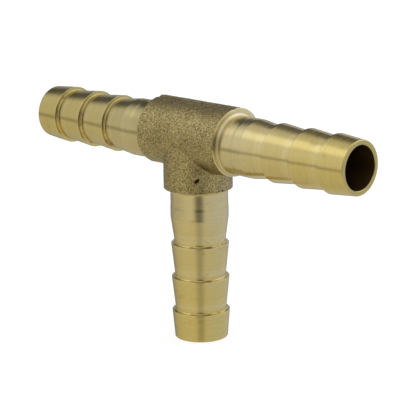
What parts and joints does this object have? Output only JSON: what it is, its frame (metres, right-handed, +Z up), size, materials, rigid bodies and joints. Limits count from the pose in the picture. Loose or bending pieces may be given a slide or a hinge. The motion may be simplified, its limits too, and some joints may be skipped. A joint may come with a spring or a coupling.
{
  "type": "barbed tee connector",
  "caption": "Brass tee fitting that joins flexible hoses: a forged body with a tee-shaped waterway and a barbed hose tail on each end of the run and on the branch.",
  "frame": {"origin": "centre of the branch's end face, which is the lowest point", "axes": "+X along the run, towards the right hose tail; +Z up, against the direction of the branch; +Y away from the front"},
  "size_m": [0.0992, 0.0166, 0.058],
  "materials": {
    "forged_brass": "as forged, dull, grainy and speckled",
    "turned_brass": "fine turned, satin"
  },
  "bodies": {
    "root": {"tee_body": "forged_brass", "left_hose_tail": "turned_brass", "right_hose_tail": "turned_brass", "branch_hose_tail": "turned_brass"}
  },
  "joints": []
}
